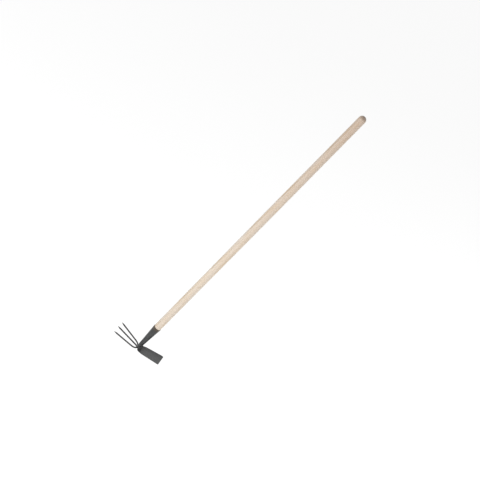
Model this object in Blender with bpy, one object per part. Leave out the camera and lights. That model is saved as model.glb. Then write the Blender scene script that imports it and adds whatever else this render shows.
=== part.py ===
"""Hoe fork: long ash handle, pressed steel head with a hoe blade on one side and three tines on the other.

The head is one sheet of steel. Its upper end is rolled into a conical socket, its lower end is a flat
blade, and between them the rolled sheet opens like a trough while it bends round the heel. One rod bent
into a U makes the two outer tines, a straight rod makes the middle one, and a weld bead in the groove
behind the heel holds both. A round-headed screw through the socket keeps the handle in.

Metres, +Z up along the handle. The origin is on the handle's axis where a rack clip grips it. +X points
to the blade, -X to the tines.
"""

import math

import bmesh
import bpy
from mathutils import Euler, Vector

MM = 0.001

# Clearance between pieces that touch on the real tool
FIT_GAP = 0.3 * MM

# Handle
HANDLE_LENGTH = 1200 * MM
HANDLE_RADIUS = 14 * MM
FOOT_OVER_TENON = 1.45 * MM  # what the handle's foot, just above the socket, stands out past the tenon
HANDLE_TAPER_LENGTH = 580 * MM  # the lower part, which thins towards the socket
HANDLE_SIDES = 40
DOME_STEPS = 9
TENON_SHORT_OF_HEEL = 13.5 * MM  # the turned cone inside the socket stops this far above the heel
TENON_END_CHAMFER = 1.5 * MM
SHOULDER_HEIGHT = 1.2 * MM
CLIP_BELOW_TOP = 150 * MM

# Sheet of the head, sizes on its outer face
SHEET = 2.0 * MM
SHEET_EDGE_BREAK = 0.3 * MM
EDGE_BREAK_FROM = math.radians(50)  # edges that turn by more than this are broken
MOUTH_RADIUS = 13.6 * MM
SOCKET_TAPER = 0.068  # radius lost for each unit of length
SOCKET_LENGTH = 91.5 * MM  # from the mouth to where the back starts round the heel
SEAM_GAP = 1.0 * MM
HEEL_RADIUS = 15 * MM
OPENING_ABOVE_HEEL = 6 * MM  # where the seam starts to open, above the heel
OPENING_LENGTH = 25 * MM  # along the back, from the closed socket to the flat blade
WAIST_BELOW_NECK = 7 * MM  # along the back, from the end of the cone
WAIST_WIDTH = 38 * MM  # of the flat blank, across its two side notches
SHOULDER_LENGTH = 34 * MM  # from the waist to the blade's full width
BLADE_LEAN = math.radians(15.0)  # towards the handle, from square to it
BLADE_LENGTH = 76.5 * MM
BLADE_ROOT_WIDTH = 53.2 * MM
BLADE_EDGE_WIDTH = 63.2 * MM
BLADE_CORNER_RADIUS = 3 * MM
GRIND_LENGTH = 7 * MM
GRIND_EDGE_SHARE = 0.3  # thickness left at the cutting edge
EDGE_SKEW = math.radians(2.3)  # cutting edge out of square, longer on the -Y side

# Steps of the sheet's grid
SHEET_COLUMNS = 36
SOCKET_ROWS = 8
FORMED_ROWS = 32
BLADE_ROWS = 5
CORNER_ROWS = 4

# Tines
TINE_RADIUS = 2.6 * MM
TINE_RISE = math.radians(3.1)  # towards the handle, from square to it
TINE_SEAT_ANGLE = math.radians(59.4)  # round the heel, from its back
OUTER_REACH = 92.3 * MM  # from the bottom of the U to the tips, square to the handle
OUTER_SPLAY = math.radians(11.9)
OUTER_BEND_RADIUS = 23.2 * MM
MIDDLE_REACH = 94.6 * MM
MIDDLE_STEP_UP = 1.3 * MM  # above the outer tines
TINE_POINT_LENGTH = 10 * MM
TINE_POINT_END = 0.16  # share of the radius left at the point
TINE_POINT_FULLNESS = 0.75  # below 1 the point's flanks bulge
TINE_POINT_STEPS = 5
BEND_STEPS = 22
TINE_BEVEL_STEPS = 6

# Weld bead between the heel and the tines
WELD_ROOT = 2.6 * MM  # weld metal between rod and heel
BEAD_ABOVE_ROD = 2.6 * MM  # of the bead past the rod, round the heel towards the neck
BEAD_BELOW_ROD = 6.6 * MM  # and towards the blade, where the bead is the heavier
BEAD_HALF_LENGTH = 11.5 * MM
COLLAR_THICKNESS = 1.6 * MM  # weld metal round the butt of the middle tine
BEAD_FINENESS = 3

# Screw through the far side of the socket
SCREW_BELOW_MOUTH = 22 * MM
SCREW_SHANK_RADIUS = 1.9 * MM
SCREW_HEAD_RADIUS = 4.0 * MM
SCREW_HEAD_HEIGHT = 2.6 * MM
SCREW_HEAD_RIM = 0.5 * MM
SCREW_LENGTH = 13 * MM  # below the head
SCREW_POINT_LENGTH = 3.5 * MM
SCREW_POINT_END = 0.3 * MM
SCREW_SIDES = 24
SCREW_HEAD_STEPS = 5
HOLE_SIDES = 24
HOLE_CLEARANCE = 0.6 * MM  # on the radius of the shank, in the sheet

FLAT_ANGLE = 0.0005  # radians; the flat blade counts as an arc this shallow
MERGE = 0.00001
SMOOTH_ANGLE = math.radians(35)

# Places that follow from the sizes above
TOP_Z = CLIP_BELOW_TOP
TENON_LENGTH = SOCKET_LENGTH - TENON_SHORT_OF_HEEL
HANDLE_FOOT_RADIUS = MOUTH_RADIUS - SHEET - FIT_GAP + FOOT_OVER_TENON
MOUTH_Z = TOP_Z - (HANDLE_LENGTH - TENON_LENGTH)
SOCKET_HALF_ANGLE = math.atan(SOCKET_TAPER)
NECK_RADIUS = MOUTH_RADIUS - SOCKET_TAPER * SOCKET_LENGTH
HEEL_CENTRE = Vector((
    -NECK_RADIUS + HEEL_RADIUS * math.cos(SOCKET_HALF_ANGLE),
    0.0,
    -SOCKET_LENGTH + HEEL_RADIUS * math.sin(SOCKET_HALF_ANGLE),
))
HEEL_TURN = math.pi / 2 + BLADE_LEAN - SOCKET_HALF_ANGLE
HEEL_ARC = HEEL_RADIUS * HEEL_TURN
OPENING_START = SOCKET_LENGTH - OPENING_ABOVE_HEEL
WAIST_START = SOCKET_LENGTH + WAIST_BELOW_NECK
FORMED_END = max(OPENING_START + OPENING_LENGTH, WAIST_START + SHOULDER_LENGTH)
BLADE_START = SOCKET_LENGTH + HEEL_ARC
SHEET_END = BLADE_START + BLADE_LENGTH
SEAT_OUT = Vector((-math.cos(TINE_SEAT_ANGLE), 0.0, -math.sin(TINE_SEAT_ANGLE)))  # from the heel's centre


def linear_colour(hex_colour):
    """Turn an sRGB hex colour into the linear values that a shader takes."""
    parts = [int(hex_colour[i:i + 2], 16) / 255 for i in (1, 3, 5)]
    linear = [c / 12.92 if c <= 0.04045 else ((c + 0.055) / 1.055) ** 2.4 for c in parts]
    return (*linear, 1.0)


def make_material(name, hex_colour, roughness, metallic):
    material = bpy.data.materials.new(name)
    material.use_nodes = True
    shader = material.node_tree.nodes["Principled BSDF"]
    shader.inputs["Base Color"].default_value = linear_colour(hex_colour)
    shader.inputs["Roughness"].default_value = roughness
    shader.inputs["Metallic"].default_value = metallic
    material.diffuse_color = linear_colour(hex_colour)
    return material


def smoothstep(value):
    value = min(max(value, 0.0), 1.0)
    return value * value * (3 - 2 * value)


def mix(a, b, share):
    return a + (b - a) * share


def clear_scene():
    for obj in list(bpy.data.objects):
        bpy.data.objects.remove(obj, do_unlink=True)


def link_object(name, data, parent, location=(0, 0, 0), rotation=(0, 0, 0)):
    obj = bpy.data.objects.new(name, data)
    bpy.context.scene.collection.objects.link(obj)
    obj.parent = parent
    obj.location = location
    obj.rotation_euler = rotation
    return obj


def as_cutter(obj):
    obj.hide_render = True
    obj.display_type = "WIRE"
    return obj


def shade(mesh):
    mesh.shade_smooth()
    mesh.set_sharp_from_angle(angle=SMOOTH_ANGLE)


def add_boolean(obj, name, other, operation):
    modifier = obj.modifiers.new(name, "BOOLEAN")
    modifier.operation = operation
    modifier.object = other
    modifier.solver = "EXACT"
    return modifier


def turned_object(name, profile, sides, parent, location=(0, 0, 0), rotation=(0, 0, 0)):
    """Turn a profile of (radius, height) points, which runs from the top down, round the local Z axis."""
    mesh = bpy.data.meshes.new(name)
    edges = [(i, i + 1) for i in range(len(profile) - 1)]
    mesh.from_pydata([(radius, 0.0, height) for radius, height in profile], edges, [])
    obj = link_object(name, mesh, parent, location, rotation)
    screw = obj.modifiers.new("Turn", "SCREW")
    screw.axis = "Z"
    screw.angle = 2 * math.pi
    screw.steps = sides
    screw.render_steps = sides
    screw.use_smooth_shade = True
    screw.use_merge_vertices = True
    screw.merge_threshold = MERGE
    return obj


def socket_radius(depth):
    """Outer radius of the cone at this depth below the mouth."""
    return MOUTH_RADIUS - SOCKET_TAPER * depth


def handle_profile():
    """Outline of the handle about the mouth's centre, from the crown of its dome down to the tenon's end."""
    dome_centre = HANDLE_LENGTH - TENON_LENGTH - HANDLE_RADIUS
    profile = []
    for step in range(DOME_STEPS + 1):
        angle = math.pi / 2 * (1 - step / DOME_STEPS)
        profile.append((
            HANDLE_RADIUS * math.cos(angle) if step else 0.0,
            dome_centre + HANDLE_RADIUS * math.sin(angle),
        ))
    shoulder_top = FIT_GAP + SHOULDER_HEIGHT
    profile.append((HANDLE_RADIUS, HANDLE_TAPER_LENGTH))
    profile.append((HANDLE_FOOT_RADIUS, shoulder_top))
    for depth in (-FIT_GAP, 0.0, TENON_LENGTH - TENON_END_CHAMFER):
        profile.append((socket_radius(depth) - SHEET - FIT_GAP, -depth))
    end_radius = profile[-1][0] - TENON_END_CHAMFER
    profile.append((end_radius, -TENON_LENGTH))
    profile.append((0.0, -TENON_LENGTH))
    return profile


def make_handle(parent, material):
    """Turned ash handle with a domed grip end and a conical tenon, pilot-drilled for the screw."""
    handle = turned_object("handle", handle_profile(), HANDLE_SIDES, parent, (0, 0, MOUTH_Z))
    handle.data.materials.append(material)
    pilot_radius = SCREW_SHANK_RADIUS + FIT_GAP
    pilot = screw_aligned(
        "pilot_cutter",
        [
            (0.0, SCREW_HEAD_HEIGHT),
            (pilot_radius, SCREW_HEAD_HEIGHT),
            (pilot_radius, -SCREW_LENGTH - 2 * FIT_GAP),
            (0.0, -SCREW_LENGTH - 2 * FIT_GAP),
        ],
        HOLE_SIDES,
        parent,
    )
    add_boolean(handle, "Pilot hole", as_cutter(pilot), "DIFFERENCE")
    return handle


def opening_share(run):
    """How far the sheet has opened at this run along its back: 0 is the closed socket, 1 the flat blade."""
    return smoothstep((run - OPENING_START) / OPENING_LENGTH)


def section_place(run):
    """Point of the sheet's back and the direction towards its open side, at this run from the mouth.

    A row lies level at the mouth, square to the back from the heel on, and turns smoothly between.
    """
    if run <= SOCKET_LENGTH:
        turn = SOCKET_HALF_ANGLE * smoothstep(run / SOCKET_LENGTH)
        back = Vector((-socket_radius(run), 0.0, -run))
        return back, Vector((math.cos(turn), 0.0, math.sin(turn)))
    turn = SOCKET_HALF_ANGLE + min((run - SOCKET_LENGTH) / HEEL_RADIUS, HEEL_TURN)
    inward = Vector((math.cos(turn), 0.0, math.sin(turn)))
    along = Vector((math.sin(turn), 0.0, -math.cos(turn)))
    return HEEL_CENTRE - HEEL_RADIUS * inward + max(run - BLADE_START, 0.0) * along, inward


def section_angle(run):
    """Half the angle that the sheet wraps round its own centre."""
    closed = math.pi - SEAM_GAP / (2 * socket_radius(min(run, SOCKET_LENGTH)))
    return max(closed * (1 - opening_share(run)), FLAT_ANGLE)


def section_half_width(run):
    """Half the width of the flat blank at this run, through rolled cone, waist, shoulders and blade."""
    if run <= WAIST_START:
        cone = socket_radius(min(run, OPENING_START)) * section_angle(min(run, OPENING_START))
        into_notch = smoothstep((run - OPENING_START) / (WAIST_START - OPENING_START))
        return mix(cone, WAIST_WIDTH / 2, into_notch)
    side = mix(BLADE_ROOT_WIDTH, BLADE_EDGE_WIDTH, (run - BLADE_START) / BLADE_LENGTH) / 2
    side = mix(WAIST_WIDTH / 2, side, smoothstep((run - WAIST_START) / SHOULDER_LENGTH))
    into_corner = max(BLADE_CORNER_RADIUS - (SHEET_END - run), 0.0)
    rounding = BLADE_CORNER_RADIUS - math.sqrt(BLADE_CORNER_RADIUS ** 2 - into_corner ** 2)
    return side - rounding


def sheet_runs():
    """Rows of the grid, few along the cone and the flat blade, many where the sheet is formed."""
    grind_start = SHEET_END - GRIND_LENGTH
    runs = [OPENING_START * i / SOCKET_ROWS for i in range(SOCKET_ROWS)]
    runs += [mix(OPENING_START, FORMED_END, i / FORMED_ROWS) for i in range(FORMED_ROWS)]
    runs += [mix(FORMED_END, grind_start, i / BLADE_ROWS) for i in range(BLADE_ROWS + 1)]
    for step in range(CORNER_ROWS + 1):
        angle = math.pi / 2 * step / CORNER_ROWS
        runs.append(SHEET_END - BLADE_CORNER_RADIUS * (1 - math.sin(angle)))
    return runs


def sheet_row(run):
    """Points across the sheet at one run, an arc about the back that goes askew towards the cutting edge."""
    back, inward = section_place(run)
    along = Vector((inward.z, 0.0, -inward.x))
    angle = section_angle(run)
    radius = section_half_width(run) / angle
    askew = math.tan(EDGE_SKEW) * max((run - FORMED_END) / (SHEET_END - FORMED_END), 0.0)
    row = []
    for column in range(SHEET_COLUMNS + 1):
        theta = angle * (2 * column / SHEET_COLUMNS - 1)
        across = radius * math.sin(theta)
        place = back + inward * radius * (1 - math.cos(theta)) - along * across * askew
        row.append(place + Vector((0.0, across, 0.0)))
    return row


def sheet_mesh(name):
    """Outer face of the head's sheet, as a grid of quads with its normals outwards."""
    mesh = bpy.data.meshes.new(name)
    form = bmesh.new()
    rows = [[form.verts.new(point) for point in sheet_row(run)] for run in sheet_runs()]
    for upper, lower in zip(rows, rows[1:]):
        for column in range(SHEET_COLUMNS):
            form.faces.new((upper[column], upper[column + 1], lower[column + 1], lower[column]))
    form.normal_update()
    form.to_mesh(mesh)
    form.free()
    return mesh


def add_thickness(obj, outward, inward):
    solidify = obj.modifiers.new("Sheet thickness", "SOLIDIFY")
    solidify.thickness = outward + inward
    solidify.offset = (outward - inward) / (outward + inward)
    solidify.use_even_offset = True
    return solidify


def make_head(parent, material):
    """Pressed head: conical socket with its open seam, neck, heel and ground blade in one sheet."""
    head = link_object("hoe_head", sheet_mesh("hoe_head"), parent, (0, 0, MOUTH_Z))
    head.data.materials.append(material)
    row_size = SHEET_COLUMNS + 1
    thickness = head.vertex_groups.new(name="thickness")
    for row, run in enumerate(sheet_runs()):
        to_edge = min((SHEET_END - run) / GRIND_LENGTH, 1.0)
        weight = mix(GRIND_EDGE_SHARE, 1.0, to_edge)
        thickness.add(range(row * row_size, (row + 1) * row_size), weight, "REPLACE")
    solidify = add_thickness(head, 0.0, SHEET)
    solidify.vertex_group = thickness.name
    bevel = head.modifiers.new("Broken edges", "BEVEL")
    bevel.width = SHEET_EDGE_BREAK
    bevel.segments = 1
    bevel.limit_method = "ANGLE"
    bevel.angle_limit = EDGE_BREAK_FROM
    hole_radius = SCREW_SHANK_RADIUS + HOLE_CLEARANCE
    punch = screw_aligned(
        "punch_cutter",
        [
            (0.0, SCREW_HEAD_HEIGHT),
            (hole_radius, SCREW_HEAD_HEIGHT),
            (hole_radius, -MOUTH_RADIUS / 2),
            (0.0, -MOUTH_RADIUS / 2),
        ],
        HOLE_SIDES,
        parent,
    )
    add_boolean(head, "Punched hole", as_cutter(punch), "DIFFERENCE")
    shade(head.data)
    return head


def screw_aligned(name, profile, sides, parent):
    """Turn a profile about the screw's axis, with height 0 on the outer face of the socket."""
    across = Vector((0.0, socket_radius(SCREW_BELOW_MOUTH), MOUTH_Z - SCREW_BELOW_MOUTH))
    lay_over = Euler((-math.pi / 2 - SOCKET_HALF_ANGLE, 0.0, 0.0))
    return turned_object(name, profile, sides, parent, across, lay_over)


def make_screw(parent, material):
    """Round-headed wood screw that enters square to the cone."""
    crown = FIT_GAP + SCREW_HEAD_HEIGHT
    rim = FIT_GAP + SCREW_HEAD_RIM
    profile = []
    for step in range(SCREW_HEAD_STEPS + 1):
        angle = math.pi / 2 * (1 - step / SCREW_HEAD_STEPS)
        profile.append((
            SCREW_HEAD_RADIUS * math.cos(angle) if step else 0.0,
            rim + (crown - rim) * math.sin(angle),
        ))
    profile += [
        (SCREW_HEAD_RADIUS, FIT_GAP),
        (SCREW_SHANK_RADIUS, FIT_GAP),
        (SCREW_SHANK_RADIUS, SCREW_POINT_LENGTH - SCREW_LENGTH),
        (SCREW_POINT_END, -SCREW_LENGTH),
        (0.0, -SCREW_LENGTH),
    ]
    screw = screw_aligned("socket_screw", profile, SCREW_SIDES, parent)
    screw.data.materials.append(material)
    return screw


def rod_curve(name, path, radius):
    """Round rod along (point, share of the radius) pairs, with its ends capped."""
    curve = bpy.data.curves.new(name, "CURVE")
    curve.dimensions = "3D"
    curve.bevel_depth = radius
    curve.bevel_resolution = TINE_BEVEL_STEPS
    curve.use_fill_caps = True
    spline = curve.splines.new("POLY")
    spline.points.add(len(path) - 1)
    for point, (place, share) in zip(spline.points, path):
        point.co = (*place, 1.0)
        point.radius = share
    spline.use_smooth = True
    return curve


def pointed_run(tip, inward):
    """Path of a tine's point, from its blunt tip to where the rod has its full radius."""
    run = []
    for step in range(TINE_POINT_STEPS + 1):
        share = step / TINE_POINT_STEPS
        thickness = mix(TINE_POINT_END, 1.0, share ** TINE_POINT_FULLNESS)
        run.append((tip + inward * TINE_POINT_LENGTH * share, thickness))
    return run


def outer_tines_path():
    """U of the two outer tines in its own plane: its bottom at the origin, its arms splayed towards -X."""
    turn = math.pi / 2 - OUTER_SPLAY
    bend_centre = Vector((-OUTER_BEND_RADIUS, 0.0, 0.0))
    bend_end = bend_centre + OUTER_BEND_RADIUS * Vector((math.cos(turn), math.sin(turn), 0.0))
    arm = Vector((-math.cos(OUTER_SPLAY), math.sin(OUTER_SPLAY), 0.0))
    tip = bend_end + arm * (OUTER_REACH + bend_end.x) / math.cos(OUTER_SPLAY)
    half = pointed_run(tip, -arm)
    for step in range(BEND_STEPS // 2 + 1):
        angle = turn * (1 - 2 * step / BEND_STEPS)
        place = bend_centre + OUTER_BEND_RADIUS * Vector((math.cos(angle), math.sin(angle), 0.0))
        half.append((place, 1.0))
    mirrored = [(Vector((place.x, -place.y, place.z)), share) for place, share in reversed(half[:-1])]
    return half + mirrored


def middle_tine_path():
    """Straight middle tine above the same plane, from its point to its butt behind the U."""
    inside = OUTER_BEND_RADIUS - TINE_RADIUS
    bulge = inside - math.sqrt(inside ** 2 - TINE_RADIUS ** 2)
    butt = Vector((-TINE_RADIUS - bulge - FIT_GAP, 0.0, MIDDLE_STEP_UP))
    tip = Vector((-MIDDLE_REACH, 0.0, MIDDLE_STEP_UP))
    return pointed_run(tip, Vector((1.0, 0.0, 0.0))) + [(butt, 1.0)]


def tine_seat():
    """Centre of the U's bottom: out from the heel by the weld's root and the rod's radius."""
    reach = HEEL_RADIUS + WELD_ROOT + TINE_RADIUS
    return Vector((0.0, 0.0, MOUTH_Z)) + HEEL_CENTRE + reach * SEAT_OUT


def make_tine(name, path, parent, material):
    """Tines are laid in their common plane, which rises towards the handle."""
    tine = link_object(name, rod_curve(name, path, TINE_RADIUS), parent, tine_seat(), (0.0, TINE_RISE, 0.0))
    tine.data.materials.append(material)
    return tine


def rod_cutter(name, path, parent):
    """Rod one clearance fatter than the tine, to cut the bead's seat."""
    source = link_object(name + "_line", rod_curve(name, path, TINE_RADIUS + FIT_GAP), None)
    mesh = bpy.data.meshes.new_from_object(source.evaluated_get(bpy.context.evaluated_depsgraph_get()))
    bpy.data.objects.remove(source, do_unlink=True)
    return as_cutter(link_object(name, mesh, parent, tine_seat(), (0.0, TINE_RISE, 0.0)))


def bead_blob(name, size, parent, location, turn):
    """Rounded blob with half sizes out from the heel, along Y and round the heel."""
    mesh = bpy.data.meshes.new(name)
    form = bmesh.new()
    bmesh.ops.create_icosphere(form, subdivisions=BEAD_FINENESS, radius=1.0)
    bmesh.ops.scale(form, vec=size, verts=form.verts)
    form.to_mesh(mesh)
    form.free()
    return link_object(name, mesh, parent, location, (0.0, turn, 0.0))


def make_weld(parent, material):
    """Bead in the groove between heel and tines, cut back to its clearance from each."""
    down_heel = Vector((-SEAT_OUT.z, 0.0, SEAT_OUT.x))
    middle_of_bead = HEEL_CENTRE + (HEEL_RADIUS + WELD_ROOT / 2) * SEAT_OUT
    middle_of_bead += down_heel * (BEAD_BELOW_ROD - BEAD_ABOVE_ROD) / 2
    bead_size = (
        WELD_ROOT / 2 + TINE_RADIUS,
        BEAD_HALF_LENGTH,
        TINE_RADIUS + (BEAD_ABOVE_ROD + BEAD_BELOW_ROD) / 2,
    )
    place = Vector((0.0, 0.0, MOUTH_Z)) + middle_of_bead
    weld = bead_blob("tine_weld", bead_size, parent, place, -TINE_SEAT_ANGLE)
    weld.data.materials.append(material)
    collar_reach = TINE_RADIUS + COLLAR_THICKNESS
    butt_place = tine_seat() + middle_tine_path()[-1][0]
    collar = as_cutter(bead_blob("collar_shape", (collar_reach,) * 3, parent, butt_place, 0.0))
    add_boolean(weld, "Collar round the middle tine", collar, "UNION")
    middle = middle_tine_path()
    middle.append((middle[-1][0] + Vector((FIT_GAP, 0.0, 0.0)), 1.0))
    for name, path in (("outer_cutter", outer_tines_path()), ("middle_cutter", middle)):
        add_boolean(weld, name, rod_cutter(name, path, parent), "DIFFERENCE")
    heel = as_cutter(link_object("heel_cutter", sheet_mesh("heel_cutter"), parent, (0, 0, MOUTH_Z)))
    add_thickness(heel, FIT_GAP, 2 * SHEET)
    add_boolean(weld, "Heel", heel, "DIFFERENCE")
    shade(weld.data)
    return weld


def main():
    clear_scene()
    tool = link_object("hoe_fork", None, None)
    ash = make_material("clear_ash_wood", "#E2CFBB", 0.6, 0.0)
    steel = make_material("black_lacquered_steel", "#555657", 0.5, 0.3)
    weld_metal = make_material("lacquered_weld_bead", "#4A4B4C", 0.6, 0.3)
    zinc = make_material("zinc_plated_steel", "#9A9B98", 0.35, 1.0)
    make_handle(tool, ash)
    make_head(tool, steel)
    make_tine("outer_tines", outer_tines_path(), tool, steel)
    make_tine("middle_tine", middle_tine_path(), tool, steel)
    make_weld(tool, weld_metal)
    make_screw(tool, zinc)


main()
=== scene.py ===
"""Hoe fork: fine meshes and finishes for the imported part, the photograph's camera and plain studio light.

Metres, +Z up along the handle, with the origin on the handle's axis 150 mm below its grip end. +X points
to the blade and -X to the tines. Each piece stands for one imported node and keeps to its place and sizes.
"""

import logging
import math
from dataclasses import dataclass, field
from enum import Enum

import bpy
import numpy as np
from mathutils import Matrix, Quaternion, Vector


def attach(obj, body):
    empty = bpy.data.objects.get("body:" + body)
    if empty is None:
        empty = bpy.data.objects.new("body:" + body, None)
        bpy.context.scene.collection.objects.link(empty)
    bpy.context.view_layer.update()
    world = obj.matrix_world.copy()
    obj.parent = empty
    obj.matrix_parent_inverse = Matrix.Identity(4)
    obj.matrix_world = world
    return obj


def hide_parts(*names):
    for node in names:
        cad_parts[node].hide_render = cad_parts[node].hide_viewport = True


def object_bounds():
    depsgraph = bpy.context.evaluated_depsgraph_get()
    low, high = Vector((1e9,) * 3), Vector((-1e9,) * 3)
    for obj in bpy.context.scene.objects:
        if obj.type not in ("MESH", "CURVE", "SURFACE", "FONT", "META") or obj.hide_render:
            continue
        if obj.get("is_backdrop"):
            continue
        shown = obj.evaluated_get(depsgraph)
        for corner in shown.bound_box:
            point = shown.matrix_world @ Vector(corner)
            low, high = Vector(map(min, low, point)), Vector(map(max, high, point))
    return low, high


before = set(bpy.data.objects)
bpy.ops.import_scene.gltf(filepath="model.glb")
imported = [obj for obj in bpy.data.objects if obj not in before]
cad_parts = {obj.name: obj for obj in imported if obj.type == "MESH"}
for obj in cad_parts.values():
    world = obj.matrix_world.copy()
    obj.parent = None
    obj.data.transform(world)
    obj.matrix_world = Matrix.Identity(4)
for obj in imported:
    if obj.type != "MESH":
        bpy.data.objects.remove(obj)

LOG = logging.getLogger("hoe_fork")
MM = 0.001
BODY = "root"
QUARTER = math.pi / 2
UP = np.array([0.0, 0.0, 1.0])
MIRROR = np.array([1.0, -1.0, 1.0])  # takes the near side to the far side
Socket = bpy.types.NodeSocket
Colour = tuple[float, float, float, float]
Triple = tuple[float, float, float]
Band = tuple[float, float]  # the two ends of a range


class Slot(Enum):
    """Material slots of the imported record."""

    WOOD = "clear_ash_wood"
    STEEL = "black_lacquered_steel"
    WELD = "lacquered_weld_bead"
    ZINC = "zinc_plated_steel"


class Mark(Enum):
    """What the head's mesh holds at each point, from 0 to 1, for the lacquer to show."""

    RIM = "rim"  # 1 on a sheared rim
    PAINTED_SHADE = "painted_shade"  # 1 where shade is painted nearly black and matt, in the heel's hollow and beside it
    PAINTED_LIGHT = "painted_light"  # 1 where light is painted on the blade


class RodEnd(Enum):
    """How one end of a rod is finished."""

    POINTED = "drawn to a point"
    SHEARED = "cut square with a broken edge"


def linear_colour(hex_colour: str) -> Colour:
    """Turn an sRGB hex colour such as "#E2CFBB" into linear red, green and blue, and an alpha of 1."""
    parts = [int(hex_colour[i:i + 2], 16) / 255 for i in (1, 3, 5)]
    return (*(c / 12.92 if c <= 0.04045 else ((c + 0.055) / 1.055) ** 2.4 for c in parts), 1.0)


def smoothstep(value: np.ndarray) -> np.ndarray:
    """Ease from 0 to 1: three times the square less twice the cube, of the value cut off at 0 and 1."""
    value = np.clip(value, 0.0, 1.0)
    return value * value * (3 - 2 * value)


def mix(start: np.ndarray, end: np.ndarray, share: np.ndarray) -> np.ndarray:
    """Go from start to end in a straight line by the share."""
    return start + (end - start) * share


def vectors(*coordinates: np.ndarray) -> np.ndarray:
    """Stack coordinates, spread to one shape, into points."""
    return np.stack(np.broadcast_arrays(*coordinates), axis=-1)


def unit(direction: np.ndarray) -> np.ndarray:
    """Divide each vector by its length."""
    return direction / np.linalg.norm(direction, axis=-1, keepdims=True)


def mesh_object(
    name: str, points: np.ndarray, faces: list[list[int]], smooth: bool = True
) -> bpy.types.Object:
    """Put points and faces into a mesh object at the origin.

    Args:
        name: name of the object.
        points: places in the part's own frame.
        faces: point numbers of each face.
        smooth: whether light runs evenly over the faces' edges.

    Returns:
        The object, linked to the scene.
    """
    mesh = bpy.data.meshes.new(name)
    mesh.from_pydata(points, [], faces)
    if smooth:
        mesh.shade_smooth()
    obj = bpy.data.objects.new(name, mesh)
    bpy.context.scene.collection.objects.link(obj)
    return obj


@dataclass
class Skin:
    """A closed surface made of quads and triangles."""

    points: np.ndarray
    quads: np.ndarray
    triangles: np.ndarray = field(default_factory=lambda: np.zeros((0, 3), int))

    def outward(self) -> "Skin":
        """Turn an inside-out skin, whose signed tetrahedra from the origin to each face sum to less than 0.

        Returns:
            The skin with its faces pointing out.
        """
        halves = [self.quads[:, [0, 1, 2]], self.quads[:, [0, 2, 3]], self.triangles]
        a, b, c = np.moveaxis(self.points[np.concatenate(halves)], 1, 0)
        if np.einsum("ij,ij->", a, np.cross(b, c)) >= 0:
            return self
        return Skin(self.points, self.quads[:, ::-1], self.triangles[:, ::-1])

    def joined(self, other: "Skin") -> "Skin":
        """Put another closed skin beside this one in one skin."""
        shift = len(self.points)
        return Skin(
            np.concatenate([self.points, other.points]),
            np.concatenate([self.quads, other.quads + shift]),
            np.concatenate([self.triangles, other.triangles + shift]),
        )

    def as_object(self, name: str) -> bpy.types.Object:
        """Make the skin an object of the given name."""
        return mesh_object(name, self.points, self.quads.tolist() + self.triangles.tolist())


def ring_quads(rows: int, columns: int) -> np.ndarray:
    """Join each ring to the next with quads, where point j of ring i has the number i * columns + j.

    Args:
        rows: number of rings.
        columns: points in each ring, which closes on itself.

    Returns:
        Four point numbers for each quad.
    """
    i, j = np.meshgrid(np.arange(rows - 1), np.arange(columns), indexing="ij")
    after = (j + 1) % columns
    quads = [i * columns + j, i * columns + after, (i + 1) * columns + after, (i + 1) * columns + j]
    return np.stack(quads, axis=-1).reshape(-1, 4)


def skin_with_poles(rings: np.ndarray, first: np.ndarray, last: np.ndarray) -> Skin:
    """Close a stack of rings with a fan of triangles to one point at each end.

    Args:
        rings: points as rings by columns by three.
        first: point before the first ring.
        last: point after the last ring.

    Returns:
        The closed skin, facing outwards.
    """
    rows, columns = rings.shape[:2]
    j = np.arange(columns)
    after = (j + 1) % columns
    pole = rows * columns
    end = (rows - 1) * columns
    fans = np.concatenate([
        np.stack([np.full(columns, pole), after, j], axis=-1),
        np.stack([np.full(columns, pole + 1), end + j, end + after], axis=-1),
    ])
    points = np.concatenate([rings.reshape(-1, 3), first[None], last[None]])
    return Skin(points, ring_quads(rows, columns), fans).outward()


def skin_with_folded_ends(rings: np.ndarray) -> Skin:
    """Close a stack of flattened rings by joining each point to the one that lies opposite in its end ring.

    Point j of the ring's first half lies opposite point 2K - 1 - j, so an end is one strip of K - 1 quads.

    Args:
        rings: points as rings by 2K columns by three.

    Returns:
        The closed skin, facing outwards.
    """
    rows, columns = rings.shape[:2]
    j = np.arange(columns // 2 - 1)
    opposite = columns - 1 - j
    end = (rows - 1) * columns
    strips = [
        np.stack([j + 1, j, opposite, opposite - 1], axis=-1),
        end + np.stack([j, j + 1, opposite - 1, opposite], axis=-1),
    ]
    return Skin(rings.reshape(-1, 3), np.concatenate([ring_quads(rows, columns), *strips])).outward()


def rounded(radius: np.ndarray, steps: int, start: float = 0.0) -> tuple[np.ndarray, np.ndarray]:
    """Round an edge by a quarter circle: the radius times one less the cosine, and one less the sine."""
    turn = np.linspace(start, QUARTER, steps)
    return radius * (1 - np.cos(turn)), radius * (1 - np.sin(turn))


def about_axis(radius: np.ndarray, height: np.ndarray, sides: int) -> np.ndarray:
    """Place rings about the Z axis: the radius times the cosine and sine of each angle, at the height."""
    angle = np.arange(sides) * 2 * math.pi / sides
    return vectors(radius * np.cos(angle), radius * np.sin(angle), height)


def rings_along(path: np.ndarray, radius: np.ndarray, sides: int) -> np.ndarray:
    """Carry a circle along a path: path + radius * (cos a * normal + sin a * up).

    Args:
        path: centre of each ring; it lies square to up, or nearly so.
        radius: radius at each point of the path.
        sides: points in each circle.

    Returns:
        Points as rings by sides by three.
    """
    angle = np.arange(sides) * 2 * math.pi / sides
    normal = unit(np.cross(UP, np.gradient(path, axis=0)))
    circle = np.cos(angle)[:, None] * normal[:, None] + np.sin(angle)[:, None] * UP
    return path[:, None] + radius[:, None, None] * circle


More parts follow.
